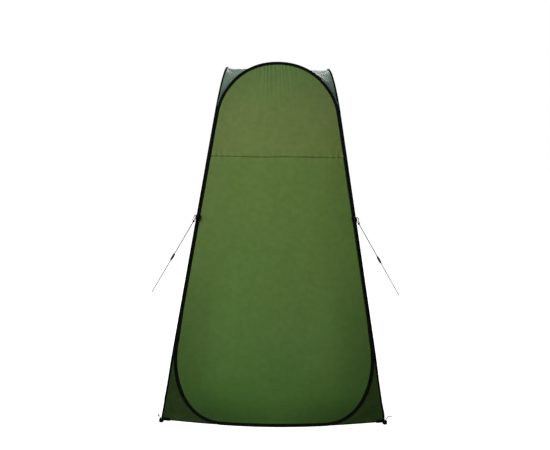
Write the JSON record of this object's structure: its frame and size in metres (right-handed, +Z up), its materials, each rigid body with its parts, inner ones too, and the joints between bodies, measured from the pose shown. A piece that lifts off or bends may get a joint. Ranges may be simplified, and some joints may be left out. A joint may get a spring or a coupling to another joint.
{
  "type": "pop-up privacy shower tent",
  "caption": "Tall tapered pop-up tent of sprung hoop walls with a roof, a zipped door, pegged corners and guy lines.",
  "frame": {"origin": "on the ground below the middle of the roof", "axes": "+Z up, -Y out of the plain front wall, +Y out of the door's wall"},
  "size_m": [1.2577, 1.3396, 1.9],
  "materials": {
    "wall_fabric": "green coated polyester taffeta",
    "roof_fabric": "the same fabric, paler under the sky",
    "black_webbing": "black woven tape",
    "steel": "plain spring and peg wire",
    "black_plastic": "moulded",
    "cord": "dark grey twisted cord"
  },
  "bodies": {
    "back_wall": {"back_door_surround": "wall_fabric", "back_hoop_binding": "black_webbing", "back_hoop_wire": "steel", "back_roof_gore": "roof_fabric", "back_skirt_left": "wall_fabric", "back_skirt_right": "wall_fabric", "back_wire_ferrule": "steel", "door_tie_loop": "black_webbing", "door_tie_toggle": "black_plastic", "zip_tape_tent_side": "black_webbing"},
    "door": {"door_leaf": "wall_fabric", "zip_tape_door_side": "black_webbing"},
    "front_wall": {"front_hoop_binding": "black_webbing", "front_hoop_wire": "steel", "front_lower_panel": "wall_fabric", "front_roof_gore": "roof_fabric", "front_skirt_left": "wall_fabric", "front_skirt_right": "wall_fabric", "front_upper_panel": "wall_fabric", "front_wire_ferrule": "steel", "ground_tab_front_left": "black_webbing", "ground_tab_front_right": "black_webbing", "guy_tab_left": "black_webbing", "guy_tab_right": "black_webbing"},
    "left_wall": {"ground_tab_back_left": "black_webbing", "left_hoop_binding": "black_webbing", "left_hoop_wire": "steel", "left_panel": "wall_fabric", "left_roof_gore": "roof_fabric", "left_skirt_left": "wall_fabric", "left_skirt_right": "wall_fabric", "left_wire_ferrule": "steel"},
    "right_wall": {"ground_tab_back_right": "black_webbing", "right_hoop_binding": "black_webbing", "right_hoop_wire": "steel", "right_panel": "wall_fabric", "right_roof_gore": "roof_fabric", "right_skirt_left": "wall_fabric", "right_skirt_right": "wall_fabric", "right_wire_ferrule": "steel"},
    "guy_line_left": {"guy_knot_left": "cord", "guy_rope_left": "cord"},
    "guy_line_right": {"guy_knot_right": "cord", "guy_rope_right": "cord"},
    "tensioner_left": {"guy_tensioner_left": "black_plastic"},
    "tensioner_right": {"guy_tensioner_right": "black_plastic"},
    "peg_back_left": {"peg_back_left": "steel"},
    "peg_back_right": {"peg_back_right": "steel"},
    "peg_front_left": {"peg_front_left": "steel"},
    "peg_front_right": {"peg_front_right": "steel"},
    "zip_pull": {"zip_pull": "steel"},
    "zip_slider": {"zip_slider": "steel"}
  },
  "joints": [
    {"name": "left_fold", "type": "hinge", "parent": "front_wall", "child": "left_wall", "pos_m": [-0.59352, -0.59352, 0], "axis": [-0.157, -0.157, -0.975], "range_deg": [0, 87], "deforming": ["front_roof_gore", "right_roof_gore", "back_roof_gore", "left_roof_gore"]},
    {"name": "right_fold", "type": "hinge", "parent": "front_wall", "child": "right_wall", "pos_m": [0.59352, -0.59352, 0], "axis": [0.157, -0.157, -0.975], "range_deg": [0, 86.5]},
    {"name": "back_fold", "type": "hinge", "parent": "left_wall", "child": "back_wall", "pos_m": [-0.59352, 0.59352, 0], "axis": [0.157, -0.157, 0.975], "range_deg": [0, 86.5]},
    {"name": "door_swing", "type": "hinge", "parent": "back_wall", "child": "door", "pos_m": [0.49197, 0.52888, 0.44539], "axis": [0.157, 0.157, -0.975], "range_deg": [0, 110]},
    {"name": "zip_slide", "type": "slide", "parent": "back_wall", "child": "zip_slider", "axis": [0.157, -0.1602, 0.9745], "range_m": [0, 1.195]},
    {"name": "zip_pull_swing", "type": "hinge", "parent": "zip_slider", "child": "zip_pull", "pos_m": [-0.4553, 0.54162, 0.43671], "axis": [0.9859, 0.0831, -0.1451], "range_deg": [0, 160]},
    {"name": "guy_swing_left", "type": "hinge", "parent": "front_wall", "child": "guy_line_left", "pos_m": [-0.42757, -0.45297, 1.06753], "axis": [-0.7071, 0.7071, 0], "range_deg": [-21, 80]},
    {"name": "tensioner_slide_left", "type": "slide", "parent": "guy_line_left", "child": "tensioner_left", "axis": [-0.4373, -0.4373, -0.7859], "range_m": [-0.19, 0.19]},
    {"name": "guy_swing_right", "type": "hinge", "parent": "front_wall", "child": "guy_line_right", "pos_m": [0.42757, -0.45297, 1.06753], "axis": [-0.7071, -0.7071, 0], "range_deg": [-21, 80]},
    {"name": "tensioner_slide_right", "type": "slide", "parent": "guy_line_right", "child": "tensioner_right", "axis": [0.4373, -0.4373, -0.7859], "range_m": [-0.19, 0.19]},
    {"name": "peg_pull_front_left", "type": "slide", "parent": "front_wall", "child": "peg_front_left", "axis": [-0.4428, -0.1409, 0.8855], "range_m": [0, 0.15]},
    {"name": "peg_pull_front_right", "type": "slide", "parent": "front_wall", "child": "peg_front_right", "axis": [0.4428, -0.1409, 0.8855], "range_m": [0, 0.15]},
    {"name": "peg_pull_back_left", "type": "slide", "parent": "left_wall", "child": "peg_back_left", "axis": [-0.1409, 0.4428, 0.8855], "range_m": [0, 0.15]},
    {"name": "peg_pull_back_right", "type": "slide", "parent": "right_wall", "child": "peg_back_right", "axis": [0.1409, 0.4428, 0.8855], "range_m": [0, 0.15]}
  ],
  "couplings": [
    {"joint": "right_fold", "follows": "left_fold", "ratio": 0.99},
    {"joint": "back_fold", "follows": "left_fold", "ratio": 0.99}
  ]
}
